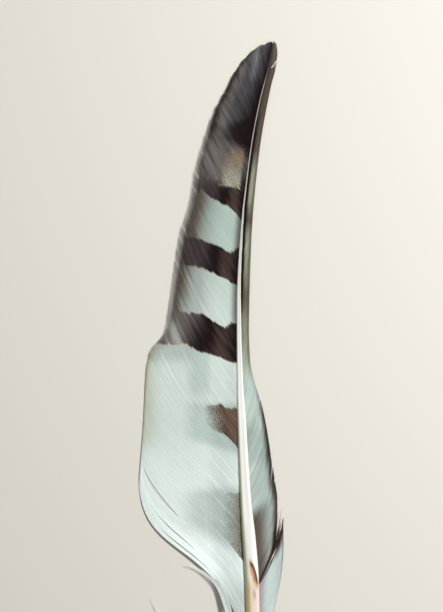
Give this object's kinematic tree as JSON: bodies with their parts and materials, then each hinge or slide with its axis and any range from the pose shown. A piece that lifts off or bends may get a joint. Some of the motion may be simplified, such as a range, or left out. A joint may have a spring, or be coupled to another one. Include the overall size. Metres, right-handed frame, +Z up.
{
  "type": "eagle feather",
  "caption": "Large wing feather lying underside up: tapering shaft with bare quill, wide stepped inner vane, narrow outer vane, dark bars and loose down at the base.",
  "frame": {"origin": "on the surface that the feather lies on, under the middle of its outline", "axes": "+Y along the feather to its tip, +X towards the narrow outer vane, +Z up from the surface"},
  "size_m": [0.0766, 0.36, 0.0104],
  "materials": {
    "keratin": "soft matte vane of fine barbs, pale blue-grey with dark brown bars, and a smooth ivory shaft"
  },
  "bodies": {
    "root": {"feather": "keratin"}
  },
  "joints": []
}
